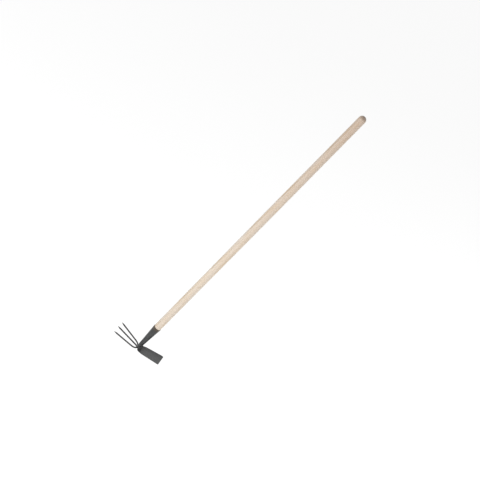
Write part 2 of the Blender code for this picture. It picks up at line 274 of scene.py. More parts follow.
def reshape(obj: bpy.types.Object, kind: str, **settings: object) -> None:
    """Run one modifier on an object and keep what it makes as the object's own mesh.

    Args:
        obj: the object.
        kind: the modifier's type.
        settings: the modifier's own properties.
    """
    modifier = obj.modifiers.new(kind, kind)
    for name, value in settings.items():
        setattr(modifier, name, value)
    depsgraph = bpy.context.evaluated_depsgraph_get()
    mesh = bpy.data.meshes.new_from_object(obj.evaluated_get(depsgraph))
    obj.modifiers.clear()
    obj.data = mesh


def bore(obj: bpy.types.Object, drill: Skin) -> None:
    """Cut a drill's shape out of an object's mesh.

    Args:
        obj: object to cut.
        drill: closed skin of what is taken away.
    """
    cutter = drill.as_object(obj.name + "_drill")
    reshape(obj, "BOOLEAN", operation="DIFFERENCE", solver="EXACT", object=cutter)
    bpy.data.objects.remove(cutter, do_unlink=True)


@dataclass(frozen=True)
class Layer:
    """A colour that is brought in over another one while a value goes through a band."""

    colour: str
    band: Band = (0.0, 1.0)
    strength: float = 1.0


@dataclass
class Recipe:
    """A node tree that is being filled, with the steps that the finishes and the studio share."""

    tree: bpy.types.NodeTree

    def add(
        self, kind: str, inputs: dict[str | int, object] | None = None, **settings: object
    ) -> bpy.types.Node:
        """Add a node with its settings, and set or link its inputs.

        Args:
            kind: the node's type, less the word that all types start with.
            inputs: for each input, a constant, a hex colour or the output that it is linked to.
            settings: the node's own properties.

        Returns:
            The new node.
        """
        node = self.tree.nodes.new("ShaderNode" + kind)
        for name, value in settings.items():
            setattr(node, name, value)
        for key, value in (inputs or {}).items():
            if isinstance(value, Socket):
                self.tree.links.new(value, node.inputs[key])
            else:
                node.inputs[key].default_value = linear_colour(value) if isinstance(value, str) else value
        return node

    def place(self) -> Socket:
        """Read the place in the piece's own coordinates, which are the part's frame."""
        return self.add("TexCoord").outputs["Object"]

    def drawn_out(self, place: Socket, scale: Triple) -> Socket:
        """Scale a place along its axes, so that a pattern is drawn out along the axis with a small scale."""
        return self.add("Mapping", {"Vector": place, "Scale": scale}).outputs[0]

    def noise(self, place: Socket, size: float, detail: float, roughness: float = 0.5) -> Socket:
        """Take noise from 0 to 1 whose patches have a size in metres."""
        inputs = {"Vector": place, "Scale": 1 / size, "Detail": detail, "Roughness": roughness}
        return self.add("TexNoise", inputs).outputs["Fac"]

    def ramp(self, value: Socket, band: Band = (0, 1), to: Band = (0, 1), kind: str = "LINEAR") -> Socket:
        """Carry a value's band over to another range, cut off at both ends."""
        inputs = {"Value": value, "From Min": band[0], "From Max": band[1], "To Min": to[0], "To Max": to[1]}
        return self.add("MapRange", inputs, interpolation_type=kind).outputs[0]

    def eased(self, value: Socket, band: Band, strength: float = 1.0) -> Socket:
        """Ease from 0 to a strength while a value goes through a band."""
        return self.ramp(value, band, (0.0, strength), "SMOOTHSTEP")

    def mixed(self, share: Socket, first: Socket | str, second: str, how: str = "MIX") -> Socket:
        """Bring a second colour in over the first by a share."""
        return self.add("Mix", {0: share, 6: first, 7: second}, data_type="RGBA", blend_type=how).outputs[2]

    def layered(self, value: Socket, first: Socket | str, layer: Layer) -> Socket:
        """Lay a layer over the first colour where the value calls for it."""
        return self.mixed(self.eased(value, layer.band, layer.strength), first, layer.colour)

    def number(self, operation: str, *values: Socket | float) -> Socket:
        """Work out one number from the values by an operation of the Math node."""
        return self.add("Math", dict(enumerate(values)), operation=operation).outputs[0]

    def seen_by(self, *rays: str) -> Socket:
        """Tell some kinds of ray, with 1, from all others, with 0.

        Args:
            rays: the kinds, as the Light Path node names them.

        Returns:
            1 or 0.
        """
        path = self.add("LightPath").outputs
        seen = path[rays[0]]
        for ray in rays[1:]:
            seen = self.number("MAXIMUM", seen, path[ray])
        return seen

    def principled(self, inputs: dict[str | int, object]) -> None:
        """End the recipe with one Principled shader."""
        self.add("OutputMaterial", {"Surface": self.add("BsdfPrincipled", inputs).outputs["BSDF"]})


def new_material(name: str) -> tuple[bpy.types.Material, Recipe]:
    """Start a material with an empty node tree.

    Args:
        name: name of the material.

    Returns:
        The material and the recipe to fill.
    """
    material = bpy.data.materials.new(name)
    material.use_nodes = True
    material.node_tree.nodes.clear()
    return material, Recipe(material.node_tree)


@dataclass(frozen=True)
class ClearAsh:
    """Ash, turned, sanded and given a thin clear lacquer.

    It is pale and warm, with long grain lines where the open-pored spring wood of each year shows, broad
    faint streaks, a greyer tone towards the grip, and painted shade on the crown.
    """

    summer_wood: str = "#F0E3D4"
    spring_wood: str = "#E0CCB2"
    warm_streak: Layer = Layer("#E6CCA8", (0.42, 0.72), 0.6)
    grip_tone: str = "#D9D0CB"
    pore: str = "#A88C6C"
    # painted shade, multiplied in on the crown
    crown_shade: str = "#E9E6E8"
    ring_width: float = 2.8 * MM
    pith_offset: Triple = (0.052, 0.038, 0.0)
    pith_lean: Triple = (0.011, -0.008, 0.0)
    wander_length: float = 1 / 60  # of the rings' unevenness, across the grain
    wander_stretch: float = 0.12  # its scale along the grain
    wander_reach: float = 3 * MM
    spring_band: Band = (0.45, 1.0)  # of each ring's width
    streak_width: float = 7 * MM
    streak_length: float = 70 * MM
    streak_roughness: float = 0.6
    grip_tone_from: float = 0.25  # share of the height where the greyer tone towards the grip starts
    crown_shade_depth: float = 9 * MM
    crown_shade_band: Band = (-0.5, 0.4)  # of that depth, from the crown up
    pore_width: float = 0.35 * MM
    pore_length: float = 9 * MM
    pore_band: Band = (0.56, 0.68)
    pore_strength: Band = (0.12, 0.6)  # in summer wood and in spring wood
    pore_roughness: float = 0.25  # added to the roughness
    pore_depth: float = 0.06 * MM
    relief: float = 0.6
    roughness: float = 0.55
    coat: float = 0.5
    coat_roughness: float = 0.35

    def rings(self, recipe: Recipe, place: Socket) -> Socket:
        """Draw growth rings round a pith that runs beside the handle, a little out of line with it.

        Args:
            recipe: what the nodes go into.
            place: the place on the wood.

        Returns:
            A saw wave from 0 to 1 over each ring's width.
        """
        pith = recipe.add("Mapping", {
            "Vector": place, "Location": self.pith_offset, "Rotation": self.pith_lean,
        }).outputs[0]
        along = recipe.drawn_out(place, (1.0, 1.0, self.wander_stretch))
        wander = recipe.add("TexNoise", {"Vector": along, "Scale": 1 / self.wander_length, "Detail": 2.0})
        bend = recipe.add("VectorMath", {
            0: wander.outputs["Color"], 1: (self.wander_reach, self.wander_reach, 0.0), 2: pith,
        }, operation="MULTIPLY_ADD").outputs[0]
        # a wave texture repeats every 2 pi / (20 * scale)
        return recipe.add("TexWave", {
            "Vector": bend, "Scale": 2 * math.pi / (20 * self.ring_width), "Distortion": 0.0,
        }, wave_type="RINGS", rings_direction="Z", wave_profile="SAW").outputs["Fac"]

    def material(self, top: float, foot: float) -> bpy.types.Material:
        """Build the wood along +Z.

        Args:
            top: height of the crown.
            foot: height of the handle's lower visible end.

        Returns:
            The material.
        """
        material, recipe = new_material(Slot.WOOD.value)
        place = recipe.place()
        spring = recipe.eased(self.rings(recipe, place), self.spring_band)
        wood = recipe.mixed(spring, self.summer_wood, self.spring_wood)
        stretch = (1.0, 1.0, self.streak_width / self.streak_length)
        streaks = recipe.drawn_out(place, stretch)
        streak = recipe.noise(streaks, self.streak_width, 3.0, self.streak_roughness)
        wood = recipe.layered(streak, wood, self.warm_streak)
        height = recipe.add("SeparateXYZ", {0: place}).outputs["Z"]
        toward_grip = recipe.ramp(height, (mix(foot, top, self.grip_tone_from), top))
        wood = recipe.mixed(toward_grip, wood, self.grip_tone, "MULTIPLY")
        # painted shade on the crown, which ends at an uneven line that follows the streaks
        depth = self.crown_shade_depth
        uneven = recipe.number("MULTIPLY_ADD", streak, depth, height)
        low, high = self.crown_shade_band
        at_crown = recipe.eased(uneven, (top + low * depth, top + high * depth))
        wood = recipe.mixed(at_crown, wood, self.crown_shade, "MULTIPLY")
        # pores are cut lengthwise, so each shows as a fine dash, most of them in the spring wood
        dashes = recipe.drawn_out(place, (1.0, 1.0, self.pore_width / self.pore_length))
        open_pore = recipe.eased(recipe.noise(dashes, self.pore_width, 1.0), self.pore_band)
        in_spring = recipe.ramp(spring, to=self.pore_strength)
        pores = recipe.number("MULTIPLY", open_pore, in_spring)
        dents = {"Height": pores, "Strength": self.relief, "Distance": self.pore_depth}
        recipe.principled({
            "Base Color": recipe.mixed(pores, wood, self.pore),
            "Roughness": recipe.ramp(pores, to=(self.roughness, self.roughness + self.pore_roughness)),
            "Normal": recipe.add("Bump", dents, invert=True).outputs[0],
            "Coat Weight": self.coat,
            "Coat Roughness": self.coat_roughness,
        })
        return material


@dataclass(frozen=True)
class BlackLacquer:
    """Dark grey stoving lacquer, semi-matt, dipped over steel that still has its rolling scale.

    The scale shows through as soft clouds and fine specks, and the lacquer is browner where it ran thin at
    the mouth. By the marks on the head's mesh it carries nearly black, matt painted shade in the heel's
    hollow and beside it, painted light broken up by scratches on the blade, and grey steel worn bare on the
    sheared rims.
    """

    name: str = Slot.STEEL.value
    body: str = "#323333"
    cloud: Layer = Layer("#484949", (0.35, 0.68))
    speck: Layer = Layer("#242526", (0.58, 0.7), 0.7)
    thin: Layer = Layer("#544636", (-16 * MM, 0.0), 0.8)  # heights from the mouth
    worn: Layer = Layer("#5E5F61", (0.45, 0.62), 0.7)
    # nearly black painted shade for the heel's hollow and beside it
    painted_shade: str = "#0A0A0B"
    # lighter grey painted light for the near half of the blade
    painted_light: str = "#727373"
    cloud_size: float = 9 * MM
    cloud_roughness: float = 0.6
    speck_size: float = 0.9 * MM
    scratch_width: float = 0.5 * MM
    scratch_length: float = 14 * MM
    scratch_band: Band = (0.35, 0.65)
    scratch_strength: Band = (0.5, 1.5)  # between the scratches and in them
    roughness: float = 0.36
    roughness_spread: Band = (-0.08, 0.12)
    painted_shade_roughness: float = 0.3  # added to the roughness where shade is painted
    gloss: float = 0.5
    bump: float = 0.05 * MM
    relief: float = 0.7

    def material(self, mouth: float) -> bpy.types.Material:
        """Build the lacquer.

        Args:
            mouth: height of the socket's mouth, where the lacquer is thin.

        Returns:
            The material.
        """
        material, recipe = new_material(self.name)
        place = recipe.place()
        clouds = recipe.noise(place, self.cloud_size, 4.0, self.cloud_roughness)
        paint = recipe.layered(clouds, self.body, self.cloud)
        specks = recipe.noise(place, self.speck_size, 2.0)
        paint = recipe.layered(specks, paint, self.speck)
        height = recipe.add("SeparateXYZ", {0: place}).outputs["Z"]
        paint = recipe.layered(recipe.number("SUBTRACT", height, mouth), paint, self.thin)
        # only the head's mesh holds these marks; on the other pieces they read as 0
        rim, painted_shade, painted_light = (
            recipe.add("Attribute", attribute_name=mark.value).outputs["Fac"] for mark in Mark
        )
        # fine scratches run out to the cutting edge, along X
        stretch = (self.scratch_width / self.scratch_length, 1.0, 1.0)
        scratches = recipe.noise(recipe.drawn_out(place, stretch), self.scratch_width, 2.0)
        scratched = recipe.ramp(scratches, self.scratch_band, self.scratch_strength)
        # painted light on the blade, broken up by the scratches
        paint = recipe.mixed(recipe.number("MULTIPLY", painted_light, scratched), paint, self.painted_light)
        # nearly black painted shade in the heel's hollow and beside it
        paint = recipe.mixed(painted_shade, paint, self.painted_shade)
        low, high = self.roughness_spread
        sheen = recipe.ramp(clouds, to=(self.roughness + low, self.roughness + high))
        grain = recipe.number("ADD", specks, clouds)
        recipe.principled({
            "Base Color": recipe.layered(recipe.number("MULTIPLY", rim, clouds), paint, self.worn),
            # also matt where shade is painted
            "Roughness": recipe.number("MULTIPLY_ADD", painted_shade, self.painted_shade_roughness, sheen),
            "Specular IOR Level": self.gloss,
            "Normal": recipe.add("Bump", {
                "Height": grain, "Strength": self.relief, "Distance": self.bump,
            }).outputs[0],
        })
        return material


@dataclass(frozen=True)
class ZincPlate:
    """Bright zinc plate on a rolled screw, gone slightly dull, with faint clouds in its shine."""

    bright: str = "#C3C5C2"
    dull: str = "#A3A49E"
    cloud_size: float = 1.6 * MM
    roughness: Band = (0.25, 0.45)

    def material(self) -> bpy.types.Material:
        """Build the plate.

        Returns:
            The material.
        """
        material, recipe = new_material(Slot.ZINC.value)
        clouds = recipe.noise(recipe.place(), self.cloud_size, 3.0)
        recipe.principled({
            "Base Color": recipe.mixed(clouds, self.bright, self.dull),
            "Roughness": recipe.ramp(clouds, to=self.roughness),
            "Metallic": 1.0,
        })
        return material


def finish_piece(obj: bpy.types.Object, material: bpy.types.Material, node: str) -> None:
    """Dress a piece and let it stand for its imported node.

    Args:
        obj: the piece.
        material: its finish.
        node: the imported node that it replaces.
    """
    obj.data.materials.clear()
    obj.data.materials.append(material)
    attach(obj, BODY)
    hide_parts(node)
    obj.data.calc_loop_triangles()
    LOG.info("%s: %d triangles, %s", obj.name, len(obj.data.loop_triangles), material.name)


@dataclass
class SocketCone:
    """The cone that the handle's tenon, the rolled sheet and the screw all fit."""

    mouth_height: float = -972 * MM
    mouth_radius: float = 13.6 * MM
    taper: float = 0.068  # radius lost for each unit of depth
    sheet: float = 2.0 * MM
    fit_gap: float = 0.3 * MM

    @property
    def half_angle(self) -> float:
        """Angle between the cone's side and its axis."""
        return math.atan(self.taper)

    def radius(self, depth: np.ndarray) -> np.ndarray:
        """Outer radius at a depth below the mouth: it falls in proportion to the depth."""
        return self.mouth_radius - self.taper * depth


@dataclass
class SocketScrew:
    """Round-headed wood screw with a cross recess, driven square to the cone on its +Y side."""

    cone: SocketCone
    below_mouth: float = 22 * MM
    head_radius: float = 4.0 * MM
    head_height: float = 2.6 * MM
    rim: float = 0.5 * MM
    recess_reach: float = 2.1 * MM
    recess_half_width: float = 0.45 * MM
    recess_depth: float = 1.3 * MM
    recess_wall: float = 0.22 * MM
    length: float = 13 * MM
    point_length: float = 3.5 * MM
    point_end: float = 0.05  # share of the radius left at the point
    crest_radius: float = 1.9 * MM
    core_radius: float = 1.35 * MM
    thread_pitch: float = 1.4 * MM
    end_inset: float = 0.05 * MM  # of the shank's first and last ring
    sides: int = 96
    head_rows: int = 60
    least_turn: float = 0.02  # of the head's first ring, off the crown
    shank_rows: int = 150
    drill_sides: int = 45  # odd, so that no corner of the drill lies on an edge of what it cuts

    def __post_init__(self) -> None:
        """Work out the turn about X from the screw's own +Z to +Y, tipped with the cone, and its place."""
        sine, cosine = math.sin(self.cone.half_angle), math.cos(self.cone.half_angle)
        self.turn = np.array([[1.0, 0.0, 0.0], [0.0, -sine, cosine], [0.0, -cosine, -sine]])
        depth = self.below_mouth
        self.seat = np.array([0.0, self.cone.radius(depth), self.cone.mouth_height - depth])

    def placed(self, points: np.ndarray) -> np.ndarray:
        """Turn and move points about the screw's own axis, with height 0 on the sheet, to their place."""
        return points @ self.turn.T + self.seat

    def head_rings(self) -> np.ndarray:
        """Model the head: an ellipse's quarter turned round, less the cross recess, then the underside.

        The recess is as deep as the smaller of two eased walls, one round each arm of the cross and one at
        the arms' reach.

        Returns:
            Points as rings by sides by three, from the crown outwards.
        """
        turn = np.linspace(self.least_turn, QUARTER, self.head_rows)
        radius = self.head_radius * np.sin(turn)[:, None]
        flat = np.abs(about_axis(radius, 0.0, self.sides))
        across = np.minimum(flat[..., 0], flat[..., 1])
        in_arm = 1 - smoothstep((across - self.recess_half_width) / self.recess_wall)
        in_reach = 1 - smoothstep((radius - self.recess_reach) / self.recess_wall)
        quarter = np.sqrt(np.clip(1 - (radius / self.head_radius) ** 2, 0, 1))
        dome = self.rim + (self.head_height - self.rim) * quarter
        top = about_axis(radius, dome - self.recess_depth * np.minimum(in_arm, in_reach), self.sides)
        under = about_axis(np.array([[self.head_radius], [self.crest_radius]]), 0.0, self.sides)
        rings = np.concatenate([top, under])
        rings[..., 2] += self.cone.fit_gap
        return rings

    def shank_rings(self) -> np.ndarray:
        """Model the thread: the radius rises from core to crest where height and angle are in step.

        The ridge is one minus four times the distance to the nearest turn, cut off at 0, and the whole
        thins to the point over its last length.

        Returns:
            Points as rings by sides by three, from the head down.
        """
        turn_share = np.arange(self.sides) / self.sides
        ends = self.cone.fit_gap - self.end_inset, -self.length + self.end_inset
        height = np.linspace(*ends, self.shank_rows)[:, None]
        two_turns = 2 * self.thread_pitch
        turn = (height / self.thread_pitch + turn_share) % 1.0
        ridge = np.clip(1 - 4 * np.abs(turn - 0.5), 0, 1) * smoothstep(-height / two_turns)
        core = mix(self.core_radius, self.crest_radius, smoothstep(1 + height / two_turns))
        to_point = np.clip((height + self.length) / self.point_length, self.point_end, 1.0)
        return about_axis(mix(core, self.crest_radius, ridge) * to_point, height, self.sides)

    def build(self, finish: ZincPlate) -> None:
        """Make the screw and dress it.

        Args:
            finish: the plating.
        """
        rings = np.concatenate([self.head_rings(), self.shank_rings()])
        crown = (self.cone.fit_gap + self.head_height - self.recess_depth) * UP
        skin = skin_with_poles(self.placed(rings), self.placed(crown), self.placed(-self.length * UP))
        finish_piece(skin.as_object("driven_screw"), finish.material(), "socket_screw")

    def drill(self, radius: float, deep: float) -> Skin:
        """Model a plain drill on the screw's axis.

        Args:
            radius: the drill's radius.
            deep: how far it goes below the sheet's outer face.

        Returns:
            The closed drill, which starts above the sheet.
        """
        heights = np.array([[self.head_height], [-deep]])
        first, last = self.placed(heights * UP)
        return skin_with_poles(self.placed(about_axis(radius, heights, self.drill_sides)), first, last)


@dataclass
class Handle:
    """Turned ash handle: a domed grip end, a long taper to the foot, a shoulder and a conical tenon."""

    cone: SocketCone
    length: float = 1200 * MM
    radius: float = 14 * MM
    foot_radius: float = 12.75 * MM
    taper_length: float = 580 * MM
    tenon_length: float = 78 * MM
    tenon_chamfer: float = 1.5 * MM
    shoulder: float = 1.2 * MM
    shoulder_rounding: float = 0.6 * MM
    pilot_radius: float = 2.2 * MM
    sides: int = 128
    rows: tuple[int, ...] = (40, 50, 60, 8, 30)  # of the dome, the even part, the taper, edge and tenon
    least_turn: float = 0.01  # of the dome's first ring, off the crown

    @property
    def top(self) -> float:
        """Height of the crown."""
        return self.cone.mouth_height + self.length - self.tenon_length

    def profile(self) -> np.ndarray:
        """Outline as radius and height, from the crown down to the tenon's end.

        The dome is a quarter circle. Below it the radius is even, then falls in a straight line to the
        foot, where a small quarter circle breaks the shoulder's edge.

        Returns:
            Pairs of radius and height in the part's frame.
        """
        dome_rows, even_rows, taper_rows, edge_rows, tenon_rows = self.rows
        mouth, gap = self.cone.mouth_height, self.cone.fit_gap
        taper_top, shoulder_top = mouth + self.taper_length, mouth + gap + self.shoulder
        turn = np.linspace(QUARTER - self.least_turn, 0, dome_rows)
        even = np.linspace(self.top - self.radius, taper_top, even_rows)[1:]
        falling = np.linspace(taper_top, shoulder_top, taper_rows)[1:]
        drop = (taper_top - falling) / (taper_top - shoulder_top)
        inward, above = rounded(self.shoulder_rounding, edge_rows)
        depth = np.linspace(-gap, self.tenon_length - self.tenon_chamfer, tenon_rows)
        tenon = self.cone.radius(depth) - self.cone.sheet - gap
        return np.concatenate([
            vectors(self.radius * np.cos(turn), self.top - self.radius * (1 - np.sin(turn))),
            vectors(self.radius, even),
            vectors(mix(self.radius, self.foot_radius, drop), falling),
            vectors(self.foot_radius - inward, shoulder_top - self.shoulder_rounding + above)[1:],
            vectors(tenon, mouth - depth),
            [[tenon[-1] - self.tenon_chamfer, mouth - self.tenon_length]],
        ])

    def build(self, finish: ClearAsh, screw: SocketScrew) -> None:
        """Make the handle, drill its pilot hole and dress it.

        Args:
            finish: the wood.
            screw: the screw that the hole is for.
        """
        foot = self.cone.mouth_height
        radius, height = np.hsplit(self.profile(), 2)
        rings = about_axis(radius, height, self.sides)
        skin = skin_with_poles(rings, self.top * UP, (foot - self.tenon_length) * UP)
        handle = skin.as_object("ash_handle")
        bore(handle, screw.drill(self.pilot_radius, screw.length + 2 * self.cone.fit_gap))
        finish_piece(handle, finish.material(self.top, foot), "handle")


@dataclass(frozen=True)
class PaintedShadingAndWear:
    """How strongly and how far shade and light are painted on the pressed head, and how far its rims are
    worn.
    """

    hollow: float = 0.67  # painted shade, in the hollow of the heel
    outside: float = 0.05  # painted shade, on the outside of the heel
    wing: float = 0.7  # painted shade, outside at the wings' rims
    wing_from: float = 9 * MM  # distance across where the painted shade on the wing starts
    wing_fade: float = 6 * MM
    root: float = 0.26  # painted shade, on the blade beside the crease
    root_slant: float = 0.9  # how much more of that lies on the far side
    root_length: float = 16 * MM
    far_side: float = 0.36  # painted shade, at the blade's far side
    painted_light_share: float = 0.14  # painted light, down the middle of the blade
    painted_light_slant: float = 0.18  # how much more lies on the near side
    worn_rim: float = 1.6 * MM
    crease_past_heel: float = 2 * MM
    crease_fade: float = 3 * MM
    heel_fade: float = 7.8 * MM  # over which the painted shade outside the heel starts
    heel_lead: float = 1.5  # how many times that length it starts above the heel


@dataclass
class PressedHead:
    """One steel sheet: a rolled conical socket with an open seam, the opened heel and a ground blade.

    A place on the sheet is its run, measured down the middle of its back from the mouth, its distance
    across from there, measured along the outer face, and its depth below that face.
    """

    cone: SocketCone
    shading_and_wear: PaintedShadingAndWear = PaintedShadingAndWear()
    edge_break: float = 0.45 * MM
    break_share: float = 0.4  # of the wall, the most that an edge is broken
    seam_gap: float = 1.0 * MM
    socket_length: float = 91.5 * MM
    heel_radius: float = 15 * MM
    opening_above_heel: float = 6 * MM
    opening_length: float = 25 * MM
    waist_below_neck: float = 7 * MM
    waist_width: float = 38 * MM
    shoulder_length: float = 34 * MM
    blade_lean: float = math.radians(15.0)
    blade_length: float = 76.49 * MM
    blade_root_width: float = 53.2 * MM
    blade_edge_width: float = 63.2 * MM
    corner_radius: float = 3 * MM
    grind_length: float = 7 * MM
    grind_edge_share: float = 0.3
    edge_skew: float = math.radians(2.3)
    flat_angle: float = 0.0005
    waviness: float = 0.07 * MM
    wave_lengths: Triple = (41 * MM, 34 * MM, 27 * MM)  # along, across and on the slant
    wave_phases: Band = (0.9, 0.4)  # along and across
    wave_slant: float = 1.7  # how far the slanted wave moves along for each step across
    slant_strength: float = 0.6  # of the slanted wave beside the first one
    wave_fade: float = 12 * MM  # before the cutting edge
    hole_radius: float = 2.5 * MM
    columns: int = 110
    edge_steps: int = 5
    corner_rows: int = 14
    rows_of: tuple[int, int, int, int] = (50, 64, 34, 6)  # socket, formed sheet, blade and ground edge
    least_step: float = 0.02 * MM

    def __post_init__(self) -> None:
        """Work out the runs where the sheet changes, and the heel's centre from the mouth's centre."""
        neck, lean = self.socket_length, self.cone.half_angle
        self.heel_turn = QUARTER + self.blade_lean - lean
        self.opening_start = neck - self.opening_above_heel
        self.waist_start = neck + self.waist_below_neck
        opening_end = self.opening_start + self.opening_length
        self.formed_end = max(opening_end, self.waist_start + self.shoulder_length)
        self.blade_start = neck + self.heel_radius * self.heel_turn
        self.sheet_end = self.blade_start + self.blade_length
        x = -self.cone.radius(neck) + self.heel_radius * math.cos(lean)
        self.heel_centre = np.array([x, 0.0, -neck + self.heel_radius * math.sin(lean)])

    def back_line(self, run: np.ndarray) -> tuple[np.ndarray, np.ndarray, np.ndarray]:
        """Follow the back: down the cone's side, round the heel as an arc, and straight out to the edge.

        Args:
            run: distances along the back from the mouth.

        Returns:
            The back's points, the directions towards the open side and the directions along the back.
        """
        on_cone = run <= self.socket_length
        round_heel = np.clip((run - self.socket_length) / self.heel_radius, 0, self.heel_turn)
        share = np.where(on_cone, smoothstep(run / self.socket_length), 1.0)
        turn = self.cone.half_angle * share + round_heel
        inward = vectors(np.cos(turn), 0.0, np.sin(turn))
        along = vectors(np.sin(turn), 0.0, -np.cos(turn))
        straight = np.maximum(run - self.blade_start, 0.0)[..., None] * along
        heel = self.heel_centre - self.heel_radius * inward + straight
        back = np.where(on_cone[..., None], vectors(-self.cone.radius(run), 0.0, -run), heel)
        return back, inward, along

    def wrap_angle(self, run: np.ndarray) -> np.ndarray:
        """Half the angle that the section wraps: half a turn less the seam, eased to flat along the opening.

        Args:
            run: distances along the back from the mouth.

        Returns:
            Half angles.
        """
        closed = math.pi - self.seam_gap / (2 * self.cone.radius(np.minimum(run, self.socket_length)))
        opened = smoothstep((run - self.opening_start) / self.opening_length)
        return np.maximum(closed * (1 - opened), self.flat_angle)

    def half_width(self, run: np.ndarray) -> np.ndarray:
        """Half the blank's width: the unrolled cone, eased to the waist, out to the blade, less its corners.

        Args:
            run: distances along the back from the mouth.

        Returns:
            Half widths.
        """
        start, waist = self.opening_start, self.waist_start
        cone_run = np.minimum(run, start)
        cone = self.cone.radius(cone_run) * self.wrap_angle(cone_run)
        upper = mix(cone, self.waist_width / 2, smoothstep((run - start) / (waist - start)))
        blade_share = (run - self.blade_start) / self.blade_length
        blade = mix(self.blade_root_width, self.blade_edge_width, blade_share) / 2
        lower = mix(self.waist_width / 2, blade, smoothstep((run - waist) / self.shoulder_length))
        corner = self.corner_radius
        into_corner = np.clip(corner - (self.sheet_end - run), 0.0, corner)
        lower = lower - (corner - np.sqrt(corner ** 2 - into_corner ** 2))
        return np.where(run <= waist, upper, lower)

    def outer_face(self, run: np.ndarray, across: np.ndarray) -> np.ndarray:
        """Place points of the outer face: an arc about the back, which goes askew towards the cutting edge.

        Args:
            run: distances along the back, one for each row.
            across: distances across, rows by columns.

        Returns:
            Points from the mouth's centre, rows by columns by three.
        """
        run = np.broadcast_to(run, across.shape)
        back, inward, along = self.back_line(run)
        radius = self.half_width(run) / self.wrap_angle(run)
        theta = across / radius
        y = radius * np.sin(theta)
        to_edge = (run - self.formed_end) / (self.sheet_end - self.formed_end)
        askew = math.tan(self.edge_skew) * np.maximum(to_edge, 0.0)
        rise = (radius * (1 - np.cos(theta)))[..., None]
        return back + inward * rise - along * (y * askew)[..., None] + vectors(0.0, y, 0.0)

    def outward(self, run: np.ndarray, across: np.ndarray) -> np.ndarray:
        """Normal of the outer face: the cross product of its slopes across and along, from small steps."""
        slopes = [
            self.outer_face(run + along, across + aside) - self.outer_face(run - along, across - aside)
            for along, aside in ((0.0, self.least_step), (self.least_step, 0.0))
        ]
        return unit(np.cross(*slopes))

    def rows(self) -> tuple[np.ndarray, np.ndarray]:
        """Space the sections, closely where the sheet is formed and at both ends, which are rounded over.

        Returns:
            The run of each section and how far it is inset from the full section.
        """
        mouth_run, mouth_inset = rounded(self.edge_break, self.edge_steps)
        tip_break = self.break_share * self.grind_edge_share * self.cone.sheet
        before_tip, tip_inset = (part[::-1] for part in rounded(tip_break, self.edge_steps))
        tip_run = self.sheet_end - before_tip
        corner = self.sheet_end - rounded(self.corner_radius, self.corner_rows)[1]
        grind_start = self.sheet_end - self.grind_length
        stops = [self.edge_break, self.opening_start, self.formed_end, grind_start, corner[0]]
        spans = [np.linspace(*ends)[:-1] for ends in zip(stops, stops[1:], self.rows_of)]
        middle = np.concatenate([*spans, corner[corner < tip_run[0] - self.least_step]])[1:]
        runs = np.concatenate([mouth_run, middle, tip_run])
        return runs, np.concatenate([mouth_inset, np.zeros_like(middle), tip_inset])

    def section(self, run: np.ndarray, inset: np.ndarray) -> tuple[np.ndarray, np.ndarray]:
        """Outline the section: a rectangle, as wide as the blank and as deep as the sheet, corners rounded.

        The first half of each ring goes over the outer face and the second comes back along the inner one.

        Args:
            run: run of each section, as a column.
            inset: how far each section is drawn in from its full outline, as a column.

        Returns:
            Distances across and depths, rows by points of the ring.
        """
        half = self.half_width(run) - inset
        share = np.clip((self.sheet_end - run) / self.grind_length, 0, 1)
        wall = self.cone.sheet * mix(self.grind_edge_share, 1.0, share)
        corner = np.maximum(np.minimum(self.edge_break, self.break_share * wall) - inset, 0.0)
        from_side, from_face = rounded(corner, self.edge_steps)
        left, left_depth = from_side - half, from_face + inset
        flat = mix(left[:, -1:], -left[:, -1:], np.linspace(0, 1, self.columns + 1)[1:-1])
        across = np.concatenate([left, flat, -left[:, ::-1]], axis=1)
        face = np.broadcast_to(inset, flat.shape)
        depth = np.concatenate([left_depth, face, left_depth[:, ::-1]], axis=1)
        across = np.concatenate([across, across[:, ::-1]], axis=1)
        return across, np.concatenate([depth, wall - depth[:, ::-1]], axis=1)

    def wave(self, run: np.ndarray, across: np.ndarray) -> np.ndarray:
        """Leave the press's slight unevenness: a sine along times a cosine across, and a sine on the slant.

        Args:
            run: distances along the back, as a column.
            across: distances across, rows by columns.

        Returns:
            Heights above the outer face, which fade out before the cutting edge.
        """
        along, cross, slant = (2 * math.pi / length for length in self.wave_lengths)
        phase_along, phase_across = self.wave_phases
        first = np.sin(run * along + phase_along) * np.cos(across * cross + phase_across)
        second = self.slant_strength * np.sin((run + self.wave_slant * across) * slant)
        to_edge = smoothstep((self.sheet_end - run) / self.wave_fade)
        return self.waviness * to_edge * (first + second) / (1 + self.slant_strength)

    def marks(self, run: np.ndarray, across: np.ndarray, depth: np.ndarray) -> dict[Mark, np.ndarray]:
        """Say where shade and light are painted on the head and where it is worn, by eased steps along and
        across the sheet.

        Shade is painted in the hollow of the heel, up to the blade's crease, thinly on the far half of the
        blade and at its root, and outside on the wings beside the opening. Light is painted on the near half
        of the blade's upper face, and the blade's rims are worn.

        Args:
            run: distances along the back, as a column.
            across: distances across, rows by columns.
            depth: depths below the outer face, rows by columns.

        Returns:
            For each mark, its share at each point.
        """
        shading_and_wear = self.shading_and_wear
        inner = np.clip(depth / self.cone.sheet, 0, 1)
        side = across / self.half_width(run)  # -1 at the near rim and 1 at the far one
        # painted shade on the blade's upper face: beside the crease at its root, and on its far half
        crease = self.blade_start + shading_and_wear.crease_past_heel
        on_blade = smoothstep((run - crease) / shading_and_wear.crease_fade + 0.5)
        past_root = smoothstep((run - crease) / shading_and_wear.root_length)
        at_root = shading_and_wear.root * (1 + shading_and_wear.root_slant * side) * (1 - past_root)
        blade = np.clip(shading_and_wear.far_side * np.clip(side, 0, 1) + at_root, 0, 1)
